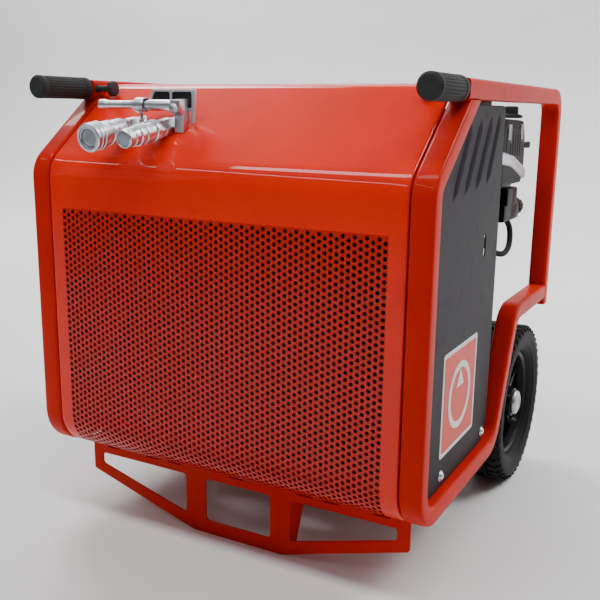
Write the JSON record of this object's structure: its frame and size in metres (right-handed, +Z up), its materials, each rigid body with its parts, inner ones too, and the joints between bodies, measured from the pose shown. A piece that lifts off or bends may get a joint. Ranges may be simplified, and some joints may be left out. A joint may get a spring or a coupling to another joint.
{
  "type": "hydraulic power unit",
  "caption": "Wheeled tube-framed petrol hydraulic power unit with a perforated bent front cover, pull-out handles, flat-face quick couplings and a laser-cut foot.",
  "frame": {"origin": "middle of the front foot's rest face", "axes": "+X to the right seen from the front, +Y to the rear, +Z up"},
  "size_m": [0.6014, 0.6637, 0.6553],
  "materials": {
    "red_paint": "glossy red powder coat",
    "red_cover": "glossy orange-red powder coat on perforated sheet",
    "grey_panel": "satin dark grey powder coat",
    "bright_steel": "bright steel",
    "grip_rubber": "ribbed black rubber",
    "black_plastic": "moulded black plastic",
    "black_steel": "black enamel",
    "tyre": "black tyre rubber",
    "zinc_plate": "bright zinc plate",
    "cooler_core": "black painted cooler core",
    "cast_aluminium": "cast aluminium",
    "tank_plastic": "black moulded tank",
    "hose_rubber": "smooth black hose"
  },
  "bodies": {
    "chassis": {"side_frame_left": "red_paint", "side_frame_right": "red_paint", "rail_left": "red_paint", "rail_right": "red_paint", "front_cross_tube": "red_paint", "middle_cross_tube": "red_paint", "front_foot": "red_paint", "front_shroud": "red_cover", "side_panel_left": "grey_panel", "side_panel_right": "grey_panel", "engine_bed": "black_steel", "axle_beam": "black_steel", "axle": "bright_steel", "female_adapter": "zinc_plate", "male_adapter": "zinc_plate", "female_coupling": "zinc_plate", "male_coupling": "zinc_plate", "valve_block": "black_steel", "valve_guard": "zinc_plate", "valve_cylinder": "zinc_plate", "oil_cooler": "cooler_core", "fan_shroud": "black_plastic", "gear_pump": "cast_aluminium", "bell_housing": "cast_aluminium", "hydraulic_tank": "tank_plastic", "tank_bracket_left": "black_steel", "tank_bracket_right": "black_steel", "pressure_hose": "hose_rubber", "return_hose": "hose_rubber", "crankcase": "cast_aluminium", "cylinder_left": "cast_aluminium", "cylinder_right": "cast_aluminium", "blower_housing": "black_steel", "fuel_tank": "tank_plastic", "air_cleaner": "black_plastic", "muffler": "bright_steel", "carburettor": "cast_aluminium", "key_switch_box": "black_plastic"},
    "handle_left": {"handle_tube_left": "bright_steel", "grip_left": "grip_rubber"},
    "handle_right": {"handle_tube_right": "bright_steel", "grip_right": "grip_rubber"},
    "lock_left": {"lock_knob_left": "black_plastic"},
    "lock_right": {"lock_knob_right": "black_plastic"},
    "wheel_left": {"tyre_left": "tyre", "rim_left": "black_plastic", "hub_cap_left": "black_plastic"},
    "wheel_right": {"tyre_right": "tyre", "rim_right": "black_plastic", "hub_cap_right": "black_plastic"},
    "drive_line": {"drive_shaft": "bright_steel", "cooling_fan": "black_plastic"},
    "sleeve": {"coupling_sleeve": "zinc_plate"},
    "selector": {"selector_lever": "zinc_plate"},
    "oil_tank_cap": {"tank_cap": "black_plastic"},
    "fuel_tank_cap": {"fuel_cap": "black_plastic"},
    "cleaner_knob": {"air_cleaner_knob": "black_plastic"},
    "filler_cap": {"oil_filler_cap": "black_plastic"},
    "throttle": {"throttle_lever": "black_plastic"},
    "key": {"ignition_key": "bright_steel"}
  },
  "joints": [
    {"name": "handle_left_slide", "type": "slide", "parent": "chassis", "child": "handle_left", "axis": [0, -1, 0], "range_m": [0, 0.24]},
    {"name": "handle_right_slide", "type": "slide", "parent": "chassis", "child": "handle_right", "axis": [0, -1, 0], "range_m": [0, 0.24]},
    {"name": "lock_left_turn", "type": "hinge", "parent": "chassis", "child": "lock_left", "pos_m": [-0.2697, 0.033, 0.6395], "axis": [1, 0, 0], "range_deg": [0, 180]},
    {"name": "lock_right_turn", "type": "hinge", "parent": "chassis", "child": "lock_right", "pos_m": [0.2697, 0.033, 0.6395], "axis": [-1, 0, 0], "range_deg": [0, 180]},
    {"name": "wheel_left_spin", "type": "hinge", "parent": "chassis", "child": "wheel_left", "pos_m": [-0.259, 0.417, 0.133], "axis": [1, 0, 0], "continuous": true},
    {"name": "wheel_right_spin", "type": "hinge", "parent": "chassis", "child": "wheel_right", "pos_m": [0.259, 0.417, 0.133], "axis": [1, 0, 0], "continuous": true},
    {"name": "drive_spin", "type": "hinge", "parent": "chassis", "child": "drive_line", "pos_m": [0, 0.034, 0.3], "axis": [0, 1, 0], "continuous": true},
    {"name": "sleeve_slide", "type": "slide", "parent": "chassis", "child": "sleeve", "axis": [0, 0.9877, 0.1564], "range_m": [0, 0.006], "stiffness_N_per_m": 900, "springref_m": -0.004},
    {"name": "selector_turn", "type": "hinge", "parent": "chassis", "child": "selector", "pos_m": [-0.143, -0.0235, 0.6165], "axis": [-1, 0, 0], "range_deg": [0, 70]},
    {"name": "oil_cap_turn", "type": "hinge", "parent": "chassis", "child": "oil_tank_cap", "pos_m": [-0.12, 0.285, 0.6003], "axis": [0, 0, 1], "range_deg": [0, 90]},
    {"name": "fuel_cap_turn", "type": "hinge", "parent": "chassis", "child": "fuel_tank_cap", "pos_m": [-0.15, 0.403, 0.5983], "axis": [0, 0, 1], "range_deg": [0, 90]},
    {"name": "cleaner_knob_turn", "type": "hinge", "parent": "chassis", "child": "cleaner_knob", "pos_m": [0.243, 0.428, 0.6043], "axis": [0, 0, 1], "range_deg": [0, 180]},
    {"name": "filler_cap_turn", "type": "hinge", "parent": "chassis", "child": "filler_cap", "pos_m": [0.2475, 0.4583, 0.459], "axis": [0, 1, 0], "range_deg": [0, 180]},
    {"name": "throttle_turn", "type": "hinge", "parent": "chassis", "child": "throttle", "pos_m": [0.255, 0.477, 0.56], "axis": [1, 0, 0], "range_deg": [-15, 30]},
    {"name": "key_turn", "type": "hinge", "parent": "chassis", "child": "key", "pos_m": [0.178, 0.5033, 0.522], "axis": [0, 1, 0], "range_deg": [0, 60]}
  ]
}
